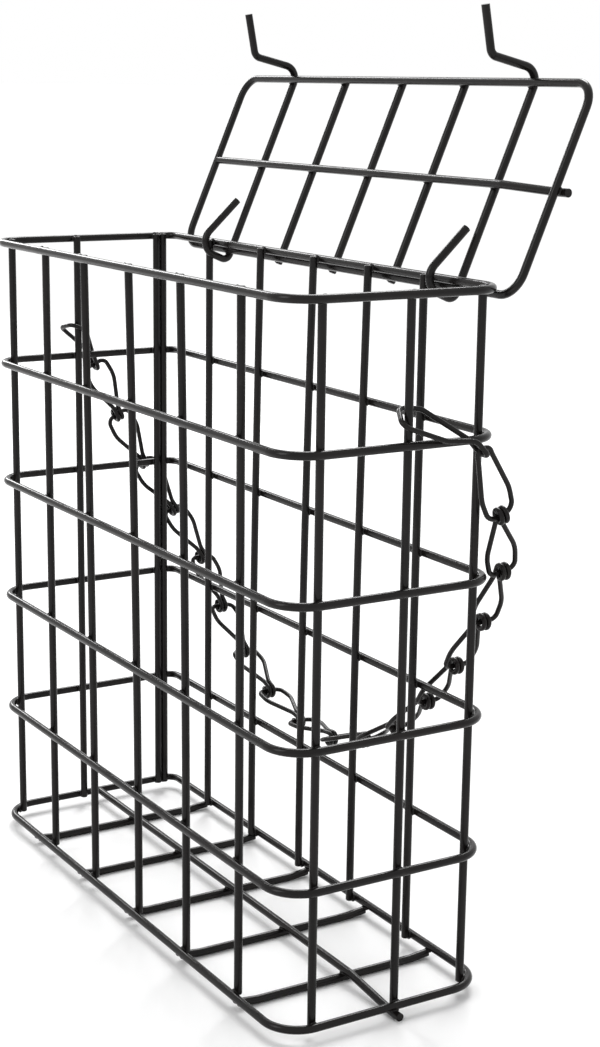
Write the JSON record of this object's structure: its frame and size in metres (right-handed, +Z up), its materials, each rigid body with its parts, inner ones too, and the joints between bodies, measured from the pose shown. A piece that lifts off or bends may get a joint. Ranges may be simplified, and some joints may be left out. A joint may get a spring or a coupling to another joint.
{
  "type": "hanging suet cage bird feeder",
  "caption": "Black coated wire basket bird feeder with a hooked wire lid, shown open, and a wire link chain hanging behind it.",
  "frame": {"origin": "centre of the basket's base, on the ground under the floor wires", "axes": "+Z up, +X along the basket's wide side, -Y out of its front; the lid is hinged on the back, at +Y"},
  "size_m": [0.1994, 0.0938, 0.2659],
  "materials": {
    "coated_wire": "semi-gloss black coating",
    "coated_chain": "semi-gloss black coating"
  },
  "bodies": {
    "basket": {"floor_long_wire": "coated_wire", "floor_wire_1": "coated_wire", "floor_wire_2": "coated_wire", "floor_wire_3": "coated_wire", "floor_wire_4": "coated_wire", "floor_wire_5": "coated_wire", "ring_1": "coated_wire", "ring_2": "coated_wire", "ring_3": "coated_wire", "ring_4": "coated_wire", "ring_5": "coated_wire", "ring_6": "coated_wire", "seam_upright_1": "coated_wire", "seam_upright_2": "coated_wire", "upright_back_1": "coated_wire", "upright_back_2": "coated_wire", "upright_back_3": "coated_wire", "upright_back_4": "coated_wire", "upright_back_5": "coated_wire", "upright_front_1": "coated_wire", "upright_front_2": "coated_wire", "upright_front_3": "coated_wire", "upright_front_4": "coated_wire", "upright_front_5": "coated_wire", "upright_left_1": "coated_wire", "upright_left_2": "coated_wire", "upright_right_1": "coated_wire", "upright_right_2": "coated_wire", "upright_right_3": "coated_wire"},
    "lid": {"lid_frame": "coated_wire", "lid_hook_left": "coated_wire", "lid_hook_right": "coated_wire", "lid_long_wire": "coated_wire", "lid_wire_1": "coated_wire", "lid_wire_2": "coated_wire", "lid_wire_3": "coated_wire"},
    "chain": {"chain_link_01": "coated_chain", "chain_link_02": "coated_chain", "chain_link_03": "coated_chain", "chain_link_04": "coated_chain", "chain_link_05": "coated_chain", "chain_link_06": "coated_chain", "chain_link_07": "coated_chain", "chain_link_08": "coated_chain", "chain_link_09": "coated_chain", "chain_link_10": "coated_chain", "chain_link_11": "coated_chain", "chain_link_12": "coated_chain", "chain_link_13": "coated_chain", "chain_link_14": "coated_chain", "chain_link_15": "coated_chain", "chain_link_16": "coated_chain", "chain_link_17": "coated_chain", "connector_left": "coated_chain", "connector_right": "coated_chain"}
  },
  "joints": [
    {"name": "lid_hinge", "type": "hinge", "parent": "basket", "child": "lid", "pos_m": [0, 0.0321, 0.19467], "axis": [1, 0, 0], "range_deg": [0, 97.5]},
    {"name": "chain_swing", "type": "hinge", "parent": "basket", "child": "chain", "pos_m": [0, 0.0001, 0.1636], "axis": [0.9989, 0.0432, -0.0155], "range_deg": [0, 60]}
  ]
}
